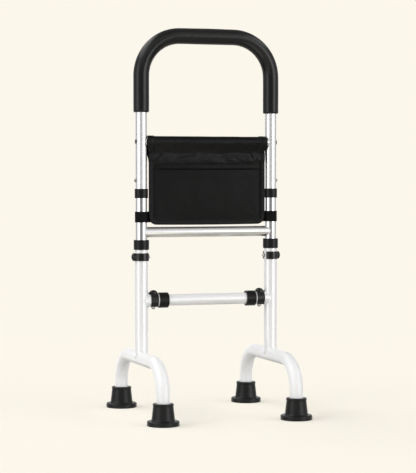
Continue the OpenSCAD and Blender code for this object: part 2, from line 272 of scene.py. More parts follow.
def tip_rubber():
    """Moulded rubber: matt, slightly bloomed, with a dusty sole edge."""
    m = Mat("tip_rubber", Specular_IOR_Level=0.28, Sheen_Weight=0.01, Sheen_Roughness=0.5)
    co = m.coords()
    grain = m.noise(co, 1900.0, 4.0, 0.65)
    cloud = m.noise(co, 42.0, 5.0, 0.62)
    bloom = m.span(m.noise(co, 120.0, 5.0, 0.7, 0.6), 0.55, 0.75, 0.0, 1.0)
    z = m.split(co)["Z"]
    low = m.span(z, 0.0, 0.006, 1.0, 0.0, smooth=True)
    dust = m.math("MULTIPLY", low, m.span(cloud, 0.35, 0.7, 0.15, 0.8))
    col = m.ramp(cloud, (0.3, (0.0032, 0.0032, 0.0032)), (0.7, (0.0048, 0.0048, 0.0047)))
    col = m.mix(m.math("MULTIPLY", bloom, 0.35), col, (0.0115, 0.0114, 0.0112))
    col = m.mix(m.math("MULTIPLY", dust, 0.35), col, (0.038, 0.035, 0.030))
    m.base(col)
    r = m.span(grain, 0.3, 0.7, 0.34, 0.41)
    m.rough(m.math("ADD", r, m.math("MULTIPLY", bloom, 0.10), clamp=True))
    m.normal(m.bump(grain, 0.18, 0.00018))
    return m.m


def woven(name, pitch_mm, dark, light, rough_lo, rough_hi, rib=1.0, level=0.2):
    """Plain weave laid along the cloth's own flat coordinates (attribute flatco, metres)."""
    m = Mat(name, Sheen_Weight=0.02, Sheen_Roughness=0.35, Specular_IOR_Level=level)
    flat = m.attribute("flatco")
    xyz = m.split(flat)
    wob = m.noise(flat, 260.0, 2.0, 0.5)
    k = 2 * math.pi / (pitch_mm * MM)
    drift = m.math("MULTIPLY", m.math("SUBTRACT", wob, 0.5), 1.6)
    a = m.math("SINE", m.math("ADD", m.math("MULTIPLY", xyz["X"], k), drift))
    b = m.math("SINE", m.math("ADD", m.math("MULTIPLY", xyz["Y"], k * rib), drift))
    over = m.math("MULTIPLY", a, b)
    thread = m.math("ADD", m.math("ABSOLUTE", a), m.math("ABSOLUTE", b))
    fuzz = m.noise(flat, 3800.0, 3.0, 0.65)
    h = m.math("ADD", m.math("MULTIPLY", over, 0.5), m.math("MULTIPLY", thread, 0.25))
    h = m.math("ADD", h, m.math("MULTIPLY", fuzz, 0.35))
    cloud = m.noise(m.coords(), 22.0, 5.0, 0.6)
    tone = m.math("ADD", m.math("MULTIPLY", cloud, 0.55), m.span(over, -1.0, 1.0, 0.0, 0.45))
    m.base(m.ramp(tone, (0.30, dark), (0.74, light)))
    m.rough(m.span(h, -0.4, 1.0, rough_hi, rough_lo))
    m.normal(m.bump(h, 0.35, 0.00014))
    return m.m


def thread():
    """Bonded sewing thread: twisted, a little shinier than the cloth."""
    m = Mat("sewing_thread", Sheen_Weight=0.03, Sheen_Roughness=0.3, Specular_IOR_Level=0.3)
    co = m.coords((1, 1, 1), (0.6, 0.6, 0.6))
    ply = m.noise(co, 2600.0, 2.0, 0.5, 1.0)
    m.base(m.ramp(ply, (0.3, (0.0035, 0.0035, 0.0037)), (0.7, (0.0095, 0.0095, 0.0100))))
    m.rough(m.span(ply, 0.3, 0.7, 0.42, 0.6))
    m.normal(m.bump(ply, 0.3, 0.0001))
    return m.m


def plated_steel(name="plated_steel", tone=(0.50, 0.485, 0.46), lo=0.20, hi=0.34):
    """Zinc-plated turned steel: fine turning marks, mottled plating."""
    m = Mat(name, Metallic=1.0)
    co = m.coords()
    mott = m.noise(co, 420.0, 4.0, 0.6)
    turn = m.noise(m.coords((0.02, 1, 1)), 2600.0, 3.0, 0.6)
    stain = m.span(m.noise(co, 150.0, 5.0, 0.7), 0.58, 0.72, 0.0, 1.0)
    col = m.ramp(mott, (0.3, tuple(c * 0.86 for c in tone)), (0.7, tone))
    col = m.mix(m.math("MULTIPLY", stain, 0.35), col, tuple(c * s for c, s in zip(tone, (0.78, 0.72, 0.64))))
    m.base(col)
    r = m.span(turn, 0.3, 0.7, lo, hi)
    m.rough(m.math("ADD", r, m.math("MULTIPLY", stain, 0.12), clamp=True))
    m.normal(m.bump(turn, 0.10, 0.00005))
    return m.m


ALU_SATIN = drawn_aluminium("satin_aluminium", "z", 0.28, 0.35, (0.86, 0.86, 0.872), 0.05, 0.08)
ALU_UP = drawn_aluminium("polished_aluminium_upright", "z", 0.12, 0.17, (0.84, 0.84, 0.848), 0.05, 0.05)
# painted shade and painted reflection: the bars use the uprights' polished aluminium with a darker, warmer tone
ALU_BAR = drawn_aluminium("polished_aluminium_bar", "x", 0.15, 0.20, (0.77, 0.763, 0.755), 0.05, 0.06)
ALU_WELD = plated_steel("weld_bead_aluminium", (0.74, 0.74, 0.745), 0.26, 0.40)
WHITE = white_paint()
WHITE_FOOT = white_paint("white_paint_satin", 0.06, 0.10, 0.30, 0.38, 0.995)
FOAM = grip_foam()
PLASTIC = black_plastic()
CLIP_PLASTIC = black_plastic("clip_plastic", 0.40, 0.15, 0.21)
RUBBER = tip_rubber()
CLOTH = woven("bag_nylon", 0.8, (0.0012, 0.0012, 0.0013), (0.0030, 0.0029, 0.0028), 0.37, 0.46, 1.0, 0.132)
PANEL = woven("bag_nylon_panel", 0.8, (0.0012, 0.0012, 0.0013), (0.0030, 0.0029, 0.0028), 0.24, 0.32, 1.0, 0.165)
TAPE = woven("binding_tape", 0.7, (0.0012, 0.0012, 0.0013), (0.0029, 0.0028, 0.0028), 0.40, 0.50, 0.5, 0.170)
WEB = woven("strap_webbing", 1.0, (0.0014, 0.0014, 0.0015), (0.0034, 0.0033, 0.0034), 0.50, 0.64, 0.55, 0.10)
THREAD = thread()
STEEL = plated_steel()
STEEL_DARK = plated_steel("snap_button_steel", (0.27, 0.26, 0.245), 0.24, 0.36)


def dress(mat, *names):
    for n in names:
        o = NODES[n]
        o.data.materials.clear()
        o.data.materials.append(mat)


dress(ALU_SATIN, "handle_tube")
dress(ALU_BAR, "top_bar", "mid_bar")
dress(ALU_UP, "mid_tube_left", "mid_tube_right")
dress(WHITE, "leg_tube_left", "leg_tube_right", "cross_stub_left", "cross_stub_right", "cross_bar")
dress(WHITE_FOOT, "foot_arch_left", "foot_arch_right")
dress(PLASTIC, "joint_collar_left", "joint_collar_right", "leg_collar_left", "leg_collar_right",
      "cross_collar_left", "cross_collar_right", "top_bar_plugs", "inner_tube_plugs")
dress(CLIP_PLASTIC, "height_clip_left", "height_clip_right", "cross_clip_left", "cross_clip_right")
dress(RUBBER, "foot_tip_front_left", "foot_tip_front_right", "foot_tip_rear_left",
      "foot_tip_rear_right")
dress(STEEL, "height_pin_left", "height_pin_right", "cross_pin_left", "cross_pin_right",
      "foot_tip_washers", "snap_spring_left", "snap_spring_right")
dress(STEEL_DARK, "top_bar_screws", "snap_button_left", "snap_button_right")


# =========================================================================
# mesh helpers, in millimetres
# =========================================================================
def make(name, verts, faces, mat, body, flat=None):
    """A smooth mesh from millimetre points, riding on a body."""
    me = bpy.data.meshes.new(name)
    me.from_pydata((np.asarray(verts, float) * MM).tolist(), [], [list(map(int, f)) for f in faces])
    if flat is not None:
        at = me.attributes.new("flatco", "FLOAT_VECTOR", "POINT")
        at.data.foreach_set("vector", (np.asarray(flat, np.float32) * MM).ravel())
    bm = bmesh.new()
    bm.from_mesh(me)
    bmesh.ops.recalc_face_normals(bm, faces=bm.faces)
    bm.to_mesh(me)
    bm.free()
    me.polygons.foreach_set("use_smooth", [True] * len(me.polygons))
    me.materials.append(mat)
    me.update()
    o = bpy.data.objects.new(name, me)
    SCENE.collection.objects.link(o)
    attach(o, body)
    return o


def grid_normals(p):
    """Unit normals of a grid of points p[i, j, 3]."""
    du = np.gradient(p, axis=0)
    dv = np.gradient(p, axis=1)
    n = np.cross(du, dv)
    return n / np.maximum(np.linalg.norm(n, axis=2, keepdims=True), 1e-9)


def cloth_grid(p, thick, flat):
    """Closed cloth of a given thickness round a grid of mid-surface points.
    Returns vertices, faces and flat coordinates."""
    nu, nv = p.shape[:2]
    n = grid_normals(p)
    t = np.broadcast_to(np.asarray(thick, float), (nu, nv))[..., None]
    a, b = p + n * t / 2, p - n * t / 2
    # the rim is drawn in a little so that a cut edge looks rounded
    verts = np.concatenate([a.reshape(-1, 3), b.reshape(-1, 3)])
    fl = np.concatenate([flat.reshape(-1, 3), flat.reshape(-1, 3)])
    k = nu * nv
    idx = np.arange(k).reshape(nu, nv)
    q = np.stack([idx[:-1, :-1], idx[1:, :-1], idx[1:, 1:], idx[:-1, 1:]], -1).reshape(-1, 4)
    faces = [*q.tolist(), *(q[:, ::-1] + k).tolist()]
    ring = [*idx[:, 0], *idx[-1, 1:], *idx[-2::-1, -1], *idx[0, -2:0:-1]]
    mid = []
    base = 2 * k
    centre = p.reshape(-1, 3)
    for i in ring:  # one rounded row along the cut edge
        mid.append(centre[i])
    # outward direction of the rim, in the cloth's plane
    out = []
    m = len(ring)
    nn = n.reshape(-1, 3)
    for j, i in enumerate(ring):
        tang = centre[ring[(j + 1) % m]] - centre[ring[j - 1]]
        d = np.cross(tang, nn[i])
        d /= max(np.linalg.norm(d), 1e-9)
        out.append(d)
    inside = centre.mean(0)
    tt = np.broadcast_to(np.asarray(thick, float), (nu, nv)).reshape(-1)
    vote = sum(float(np.dot(o, c - inside)) for o, c in zip(out, mid))
    sgn = 1.0 if vote > 0 else -1.0
    mid = [c + sgn * o * tt[i] * 0.4 for c, o, i in zip(mid, out, ring)]
    verts = np.concatenate([verts, np.array(mid)])
    fl = np.concatenate([fl, flat.reshape(-1, 3)[ring]])
    for j in range(m):
        j2 = (j + 1) % m
        faces.append([ring[j], ring[j2], base + j2, base + j])
        faces.append([base + j, base + j2, ring[j2] + k, ring[j] + k])
    return verts, faces, fl


def sweep(path, side, up, profile, closed_path=False, closed_profile=True, cap=False):
    """Profile points (s, u) carried along a path with given side and up directions."""
    path, side, up = (np.asarray(x, float) for x in (path, side, up))
    prof = np.asarray(profile, float)
    n, m = len(path), prof.shape[-2]
    if prof.ndim == 2:
        prof = np.broadcast_to(prof, (n, m, 2))
    v = path[:, None] + prof[..., :1] * side[:, None] + prof[..., 1:] * up[:, None]
    verts = v.reshape(-1, 3)
    faces = []
    for i in range(n if closed_path else n - 1):
        i2 = (i + 1) % n
        for j in range(m if closed_profile else m - 1):
            j2 = (j + 1) % m
            faces.append([i * m + j, i2 * m + j, i2 * m + j2, i * m + j2])
    if cap and not closed_path:
        faces.append(list(range(m))[::-1])
        faces.append([(n - 1) * m + j for j in range(m)])
    return verts, faces


def resample(pts, step):
    """Points a given step apart along a polyline, rounded off by a Catmull-Rom pass."""
    p = np.asarray(pts, float)
    e = np.vstack([2 * p[0] - p[1], p, 2 * p[-1] - p[-2]])
    fine = []
    for i in range(1, len(e) - 2):
        a, b, c, d = e[i - 1], e[i], e[i + 1], e[i + 2]
        for t in np.linspace(0, 1, 16, endpoint=False):
            fine.append(0.5 * (2 * b + (c - a) * t + (2 * a - 5 * b + 4 * c - d) * t * t
                               + (3 * b - a - 3 * c + d) * t ** 3))
    fine.append(p[-1])
    fine = np.array(fine)
    s = np.concatenate([[0], np.cumsum(np.linalg.norm(np.diff(fine, axis=0), axis=1))])
    n = max(2, int(round(s[-1] / step)) + 1)
    at = np.linspace(0, s[-1], n)
    return np.stack([np.interp(at, s, fine[:, k]) for k in range(fine.shape[1])], 1)


def length_along(p):
    return np.concatenate([[0], np.cumsum(np.linalg.norm(np.diff(p, axis=0), axis=1))])


def soft(x, z, seed, sx, sz, octaves=3):
    """Smooth noise in -1..1 over a cloth's flat coordinates."""
    return noise.fractal(Vector((x / sx + seed * 7.31, z / sz + seed * 3.17, seed)), 1.0, 2.0, octaves)


def smooth(e0, e1, x):
    t = np.clip((np.asarray(x, float) - e0) / (e1 - e0), 0, 1)
    return t * t * (3 - 2 * t)


def stitches(points, normals, length=2.6, gap=0.8, wide=0.55, high=0.34, sink=0.06):
    """A row of lock stitches along a path that lies on a surface."""
    p = np.asarray(points, float)
    nrm = np.asarray(normals, float)
    s = length_along(p)
    verts, faces = [], []
    count = int((s[-1] - 1.0) // (length + gap))
    start = (s[-1] - count * (length + gap) + gap) / 2
    rings = [(-0.5, 0.15, -0.55), (-0.40, 0.75, 0.2), (-0.15, 1.0, 0.55), (0.15, 1.0, 0.55),
             (0.40, 0.75, 0.2), (0.5, 0.15, -0.55)]
    seg = 6
    for k in range(count):
        c = start + k * (length + gap) + length / 2
        at = [np.interp(c + f * length, s, p[:, i]) for f in (-0.5, 0.0, 0.5) for i in range(3)]
        a, mid, b = (np.array(at[0:3]), np.array(at[3:6]), np.array(at[6:9]))
        n0 = np.array([np.interp(c, s, nrm[:, i]) for i in range(3)])
        n0 /= np.linalg.norm(n0)
        d = b - a
        ln = np.linalg.norm(d)
        d /= ln
        w = np.cross(n0, d)
        w /= np.linalg.norm(w)
        tilt = 0.10
        d2 = d * math.cos(tilt) + w * math.sin(tilt)
        w2 = np.cross(n0, d2)
        first = len(verts)
        for f, r, lift in rings:
            o = mid + d2 * (f * ln) + n0 * (lift * high - sink)
            for j in range(seg):
                g = 2 * math.pi * j / seg
                verts.append(o + w2 * (math.cos(g) * wide / 2 * r) + n0 * (math.sin(g) * high / 2 * r))
        for i in range(len(rings) - 1):
            for j in range(seg):
                j2 = (j + 1) % seg
                faces.append([first + i * seg + j, first + (i + 1) * seg + j,
                              first + (i + 1) * seg + j2, first + i * seg + j2])
        faces.append([first + j for j in range(seg)][::-1])
        e = first + (len(rings) - 1) * seg
        faces.append([e + j for j in range(seg)])
    return verts, faces


def joined(parts):
    """Several (verts, faces) as one."""
    verts, faces = [], []
    for v, f in parts:
        k = len(verts)
        verts.extend(np.asarray(v, float).tolist())
        faces.extend([[i + k for i in q] for q in f])
    return verts, faces


# =========================================================================
# foam grip
# =========================================================================
def handle_path(low, step):
    """The handle's axis from the left lower end over the top to the right one."""
    out, tan = [], []
    n = int((HANDLE_Z - HANDLE_R - low) / step)
    for i in range(n):
        out.append((-HX, low + (HANDLE_Z - HANDLE_R - low) * i / n))
        tan.append((0, 1))
    n = int(HANDLE_R * math.pi / 2 / step)
    for i in range(n):
        g = math.pi - (math.pi / 2) * i / n
        out.append((-HX + HANDLE_R + HANDLE_R * math.cos(g), HANDLE_Z - HANDLE_R + HANDLE_R * math.sin(g)))
        tan.append((math.sin(g), -math.cos(g)))
    half = HX - HANDLE_R
    n = int(half / step)
    for i in range(n + 1):
        out.append((-half + half * i / n, HANDLE_Z))
        tan.append((1, 0))
    left = list(zip(out, tan))
    right = [((-p[0], p[1]), (t[0], -t[1])) for p, t in left[:-1]][::-1]
    return left + right


def foam_grip():
    step = 2.2
    path = handle_path(GRIP_LOW, step)
    centres = np.array([(p[0], 0.0, p[1]) for p, _ in path])
    tans = np.array([(t[0], 0.0, t[1]) for _, t in path])
    s = length_along(centres)
    total = s[-1]
    seg = 56
    inner_r = TUBE_R + 0.12
    fil = 2.4
    rows = []

    def ring(c, t, r_fn):
        out = np.array([-t[2], 0.0, t[0]])          # away from the middle of the U
        row = []
        for j in range(seg):
            g = 2 * math.pi * j / seg
            r = r_fn(g)
            row.append(c + out * (math.cos(g) * r) + np.array([0, 1.0, 0]) * (math.sin(g) * r))
        return row

    def radius(at, g, c):
        mid = abs(at - total / 2)
        crown = 0.5 * (1 - smooth(0, 62, mid)) * max(0.0, math.cos(g)) ** 1.5
        v = Vector((c[0] / 26.0, math.cos(g) * 0.6 + c[2] / 26.0, math.sin(g) * 0.6))
        wave = 0.14 * noise.noise(v) + 0.06 * noise.noise(v * 3.1)
        bend = smooth(60, 90, at) * (1 - smooth(165, 200, at))
        bend2 = smooth(60, 90, total - at) * (1 - smooth(165, 200, total - at))
        inner = max(0.0, -math.cos(g)) ** 2 * (bend + bend2)
        ripple = 0.10 * inner * math.sin(at * 0.62 + 1.2 * math.sin(at * 0.11))
        return GRIP_R + crown + wave + ripple

    def end_rows(i, sign):
        """Rounded lip and flat annulus at a lower end, from the bore outwards."""
        c, t = centres[i], tans[i]
        rows = []
        prof = [(0.9, inner_r), (0.15, inner_r + 0.5), (0.0, inner_r + 1.3)]
        for k in range(7):
            g = math.pi / 2 * k / 6
            prof.append((fil - fil * math.cos(g), GRIP_R - fil + fil * math.sin(g)))
        for dz, r in prof:
            cc = c + t * (dz * sign)
            rows.append(ring(cc, t, lambda g, r=r, cc=cc: r + 0.10 * noise.noise(Vector((math.cos(g) * 2, math.sin(g) * 2, cc[0] / 40)))
                             if r > inner_r + 1 else r))
        return rows

    rows += end_rows(0, 1.0)
    for i in range(len(centres)):
        at = s[i]
        if at < fil + 0.8 or at > total - fil - 0.8:
            continue
        rows.append(ring(centres[i], tans[i], lambda g, at=at, c=centres[i]: radius(at, g, c)))
    rows += end_rows(-1, -1.0)[::-1]
    verts = [v for r in rows for v in r]
    faces = []
    n = len(rows)
    for i in range(n - 1):
        for j in range(seg):
            j2 = (j + 1) % seg
            faces.append([i * seg + j, (i + 1) * seg + j, (i + 1) * seg + j2, i * seg + j2])
    # the bore follows the tube so that the foam is a closed sleeve
    bore = [ring(centres[i], tans[i], lambda g: inner_r)
            for i in range(len(centres)) if 3.0 <= s[i] <= total - 3.0]
    k = len(verts)
    verts += [v for r in bore for v in r]
    nb = len(bore)
    for i in range(nb - 1):
        for j in range(seg):
            j2 = (j + 1) % seg
            faces.append([k + i * seg + j, k + i * seg + j2, k + (i + 1) * seg + j2, k + (i + 1) * seg + j])
    for j in range(seg):
        j2 = (j + 1) % seg
        faces.append([j, j2, k + j2, k + j])
        e, b = (n - 1) * seg, k + (nb - 1) * seg
        faces.append([e + j, b + j, b + j2, e + j2])
    o = make("foam_grip", verts, faces, FOAM, "upper_frame")
    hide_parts("handle_grip")
    return o


foam_grip()


# =========================================================================
# bag
# =========================================================================
CLOTH_T = 0.9          # one layer of cloth; hems are thicker
EDGE_Y = -3.2          # plane of the sewn edge
MARGIN = 10.0          # sewn margin, inside which the pocket stands off
SEW_D = 9.5            # its sewn line
HEM_Z = 470.7          # stitched line of the pocket's hem
BODY_TOP = 497.5       # height at which the sleeve starts
SLEEVE_HALF = 121.7
SLEEVE_R = 10.38       # middle of the cloth that lies on the bar
SAG = 0.6
EDGE_COLS = np.array([0.0, 0.5, 1.2, 2.4, 4.0, 5.4, 6.2, 7.0, 7.8, 8.4, 8.8, 9.2, 9.6, 10.1, 10.7, 11.3,
                      11.9, 12.5, 13.4, 14.8, 16.6, 18.8])
INNER_COLS = 88

# middle section of the back panel (y, z), from the lower edge to the sleeve
BACK_SECTION = resample([(-2.75, 364.6), (-2.6, 367.0), (-2.1, 370.0), (-1.2, 376.0), (0.0, 386.0), (0.9, 400.0),
                         (1.2, 420.0), (0.8, 438.0), (-0.2, 452.0), (-1.6, 462.0), (-3.0, 470.0), (-3.9, 475.5),
                         (-4.7, 480.5), (-5.4, 485.0), (-5.6, 488.5), (-5.1, 492.5), (-4.5, 497.5)], 0.5)


def back_mid(z):
    return float(np.interp(z, BACK_SECTION[:, 1], BACK_SECTION[:, 0]))


def low_edge(x):
    """Height of the bag's lower edge, which hangs a little lower in the middle."""
    return BAG_LOW + SAG * (abs(x) / 100.0) ** 2.2


def corner_rows():
    """(height above the lower edge, half width) of rows through the rounded corners."""
    rows = []
    for k in range(13):
        g = math.pi / 2 * k / 12
        rows.append((BAG_CORNER * (1 - math.cos(g)), BAG_HALF - BAG_CORNER * (1 - math.sin(g))))
    return rows


def row_x(half, other=None):
    """x of every column in a row of a given half width, close together at the sewn edge."""
    left = -half + EDGE_COLS
    right = (half if other is None else other) - EDGE_COLS[::-1]
    mid = np.linspace(left[-1], right[0], INNER_COLS + 2)[1:-1]
    return np.concatenate([left, mid, right])


def swell(d, start, width, power=2.2):
    """0 up to a distance start from the edge, rising to 1 over a width."""
    t = min(1.0, max(0.0, (d - start) / width))
    return 1 - (1 - t) ** power


def edge_depth(x, z):
    """Distance in from the sewn edge, which has rounded lower corners."""
    dx, dz, c = BAG_HALF - abs(x), z - low_edge(x), BAG_CORNER
    if dx < c and dz < c:
        return c - math.hypot(c - dx, c - dz)
    return min(dx, dz)


def side_y(z):
    """y of the back panel at its side edges."""
    edge = EDGE_Y + 0.5
    return edge + (back_mid(z) - edge) * float(smooth(474, 496, z))


def back_wave(x, z):
    """How far the back panel stands off its smooth shape."""
    inn = float(smooth(MARGIN, MARGIN + 22, BAG_HALF - abs(x)))
    free = float(smooth(474, 486, z) * (1 - smooth(499, 507, z)))
    w = free * (0.25 + 0.75 * inn) * (0.95 * soft(x, z, 1.0, 50, 22) + 0.8 * soft(x + 0.9 * z, z, 2.0, 27, 44, 2))
    # creases that run down and out to the side hems
    for x0, z0, x1, z1, deep, wide in ((91, 499.5, 97, 489, 0.95, 2.2), (99, 496, 107, 484.5, 0.9, 2.0), (-88, 497, -104, 485.5, 0.6, 2.6),
                                       (58, 493, 86, 486, 0.55, 2.6), (30, 492, 52, 489, 0.4, 2.4), (-20, 496, -66, 487, 0.5, 2.8)):
        dx, dz = x1 - x0, z1 - z0
        ln = math.hypot(dx, dz)
        along = ((x - x0) * dx + (z - z0) * dz) / ln
        off = ((x - x0) * dz - (z - z0) * dx) / ln
        run = float(smooth(-4, 4, along) * (1 - smooth(ln - 4, ln + 5, along)))
        w -= deep * run * math.exp(-(off / wide) ** 2)
        w += 0.6 * deep * run * math.exp(-((off - 1.9 * wide) / wide) ** 2)
    # gentle waves of the part behind the pocket, and pulls to the straps
    low = float(1 - smooth(458, 474, z))
    w += low * inn * 0.45 * soft(x, z, 3.0, 60, 45)
    for sx in (-1, 1):
        d = math.hypot(sx * x - 116, z - 379.5)
        ang = math.atan2(z - 379.5, 116 - sx * x)
        w += low * 0.35 * math.sin(ang * 9.0) * math.exp(-d / 26.0) * float(smooth(6, 16, d))
    return w


def back_y(x, z):
    """Middle surface of the back panel below the sleeve."""
    side = side_y(z)
    return side + (back_mid(z) - side) * swell(BAG_HALF - abs(x), MARGIN, 30.0) + back_wave(x, z)


def pocket_y(x, z):
    """Middle surface of the pocket's front."""
    d = edge_depth(x, z)
    edge = EDGE_Y - 0.5
    mouth = float(smooth(440, POCKET_TOP, z))
    face = -6.7 - 1.3 * mouth - 0.5 * (1 - (x / BAG_HALF) ** 2) * (0.6 + 0.4 * mouth)
    y = edge + (face - edge) * swell(BAG_HALF - abs(x), MARGIN, 90.0, 1.5) * swell(z - low_edge(x), MARGIN, 62.0, 2.3)
    inn = float(smooth(MARGIN, MARGIN + 16, d))
    y += inn * (0.42 * soft(x, z, 5.0, 46, 60) + 0.24 * soft(x + 0.4 * z, z, 6.0, 24, 80, 2))
    over = z - HEM_Z
    y += 1.35 * math.exp(-(over / 0.9) ** 2) * (0.3 + 0.7 * inn)          # the stitched line draws in
    y -= 0.45 * float(smooth(0.4, 2.2, over)) * inn                       # the doubled hem is a little proud
    y += 1.5 * float(smooth(5.5, -1.5, POCKET_TOP - z))                   # its upper edge leans back
    y += 0.16 * over * 0.1 * math.sin(x * 0.5 + 2.0 * math.sin(x * 0.07)) * float(smooth(0.5, 3, over)) * inn
    for sx in (-1, 1):                                                     # shallow pulls from the lower corners
        r = math.hypot(sx * x - 104, z - 376)
        ang = math.atan2(z - 376, 104 - sx * x)
        y += 0.35 * math.sin(ang * 8.0 + 0.6) * math.exp(-r / 22.0) * float(smooth(3, 12, r))
    # the sewn line of the margin, with puckers along it
    run = z if abs(x) > 98 else x
    y += 1.05 * math.exp(-((d - SEW_D) / 0.65) ** 2)
    y += 0.15 * math.sin(run * 0.95 + 1.7 * math.sin(run * 0.21)) * math.exp(-((d - SEW_D - 1.8) / 2.4) ** 2)
    return y


def sleeve_section():
    """(y, z) of the cloth from the panel up the front of the bar, over it and down behind as a lap."""
    pts = [(back_mid(BODY_TOP), BODY_TOP), (-4.4, 501.0), (-5.1, 505.0), (-6.5, 509.5), (-8.2, 514.0), (-9.55, 517.5)]
    for g in np.linspace(-76, -284, 40):
        a = math.radians(g)
        pts.append((SLEEVE_R * math.sin(a), BAR_Z - SLEEVE_R * math.cos(a)))
    pts += [(9.4, 516.4), (8.1, 510.0), (6.1, 502.0), (3.8, 493.5), (1.3, 485.5), (-0.9, 479.3), (-2.4, 475.0),
            (-2.85, 471.8), (-2.35, 468.6), (-1.65, 465.4)]
    return resample(pts, 1.7)


def lap_follow(x, z):
    """The lap's sewn end lies on the panel, so it takes the panel's waves."""
    return (back_y(x, z) - back_mid(z)) * (1 - float(smooth(473, 492, z)))


def back_panel():
    """Panel with its top turned over the bar and sewn down behind, as one cloth."""
    P, F, T = [], [], []

    def body_row(z, w):
        xs = row_x(w)
        row = []
        for x in xs:
            lift = (low_edge(x) - BAG_LOW) * (1 - (z - BAG_LOW) / 140.0)
            row.append((x, back_y(x, z), z + lift))
        P.append(row)
        F.append([(x, z, 0) for x in xs])
        T.append(np.full(len(xs), CLOTH_T))

    for h, w in corner_rows():
        body_row(BAG_LOW + h, w)
    for z in np.linspace(BAG_LOW + BAG_CORNER + 2.4, BODY_TOP, 56):
        body_row(z, BAG_HALF)
    loop = sleeve_section()
    s = length_along(loop)
    top = int(np.argmax(loop[:, 1]))
    for k in range(1, len(loop)):
        y, z = loop[k]
        # the sleeve sits a little to the left on the bar, and flares lower down on that side
        if k < top and z < BAR_Z:
            wl = BAG_HALF + (SLEEVE_HALF + 1.2 - BAG_HALF) * float(smooth(494, BAR_Z + 2, z))
            wr = BAG_HALF + (SLEEVE_HALF - 1.1 - BAG_HALF) * float(smooth(506, 519, z))
        elif z < BAR_Z:
            wl = BAG_HALF - 1.0 + (SLEEVE_HALF + 2.2 - BAG_HALF) * float(smooth(484, BAR_Z, z))
            wr = BAG_HALF - 1.0 + (SLEEVE_HALF - 0.1 - BAG_HALF) * float(smooth(484, BAR_Z, z))
        else:
            wl, wr = SLEEVE_HALF + 1.2, SLEEVE_HALF - 1.1
        clear = HX - math.sqrt(max(0.0, 13.3 ** 2 - min(y * y, 13.2 ** 2)))
        wl, wr = min(wl, clear), min(wr, clear)
        xs = row_x(wl, wr)
        n = np.array([loop[min(k + 1, len(loop) - 1)][1] - loop[k - 1][1],
                      -(loop[min(k + 1, len(loop) - 1)][0] - loop[k - 1][0])])
        n = -n / np.linalg.norm(n)                                         # out of the loop
        bear = float(smooth(BAR_Z - 6, BAR_Z + 2, z))                      # on the bar the cloth lies close
        ends = float(smooth(0, 8, s[k]) * (1 - smooth(s[-1] - 46, s[-1] - 30, s[k])))
        row, tr = [], []
        for x in xs:
            lump = (0.2 * bear + 0.85 * (1 - bear)) * soft(x, s[k], 8.0, 40, 24) * ends
            lump += 0.48 * (1 - bear) * soft(x + 0.6 * s[k], s[k], 9.0, 20, 34, 2) * ends
            wave = back_wave(x, BODY_TOP) * (1 - float(smooth(0, 10, s[k])))
            inset = (wl if x < 0 else wr) - abs(x)
            hem = (1 - float(smooth(11.3, 12.1, inset))) * float(smooth(2, 12, s[k]))
            yy = y + n[0] * (lump + 0.5 * hem) + wave
            zz = z + n[1] * (lump + 0.5 * hem)
            if k > top:
                yy += lap_follow(x, z)
            row.append((x, yy, zz))
            groove = math.exp(-((inset - 10.5) / 0.6) ** 2) * float(smooth(2, 12, s[k]))
            tr.append(CLOTH_T + 1.0 * hem - 0.5 * groove)
        P.append(row)
        F.append([(x, BODY_TOP + s[k], 0) for x in xs])
        T.append(tr)
    v, f, fl = cloth_grid(np.array(P), np.array(T), np.array(F))
    o = make("bag_back_panel", v, f, PANEL, "upper_frame", fl)
    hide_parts("bag_back")
    return o, loop


def front_lift(x, z):
    """Height of a pocket point: the lower edge curves and the mouth sags a little."""
    lift = (low_edge(x) - BAG_LOW) * (1 - (z - BAG_LOW) / (POCKET_TOP - BAG_LOW))
    return z + lift - 0.7 * float(smooth(440, POCKET_TOP, z)) * (1 - (x / BAG_HALF) ** 2)


def front_panel():
    rows = [(BAG_LOW + h, w) for h, w in corner_rows()]
    rows += [(z, BAG_HALF) for z in np.linspace(BAG_LOW + BAG_CORNER + 2.2, HEM_Z - 5.5, 42)]
    for dz in (-4.0, -2.8, -2.0, -1.5, -1.1, -0.8, -0.5, -0.25, 0, 0.25, 0.5, 0.8, 1.1, 1.5, 2.0, 2.8, 3.8):
        rows.append((HEM_Z + dz, BAG_HALF))
    for dz in (4.4, 3.6, 2.9, 2.3, 1.7, 1.2, 0.8, 0.45, 0.2, 0):
        rows.append((POCKET_TOP - dz, BAG_HALF))
    P, F, thick = [], [], []
    for z, w in rows:
        xs = row_x(w)
        hem = float(smooth(HEM_Z - 0.2, HEM_Z + 0.9, z))
        P.append([(x, pocket_y(x, z), front_lift(x, z)) for x in xs])
        F.append([(x + 400, z, 0) for x in xs])
        thick.append([CLOTH_T + 0.8 * hem] * len(xs))
    v, f, fl = cloth_grid(np.array(P), np.array(thick), np.array(F))
    o = make("bag_pocket_front", v, f, CLOTH, "upper_frame", fl)
    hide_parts("bag_pocket")
    return o


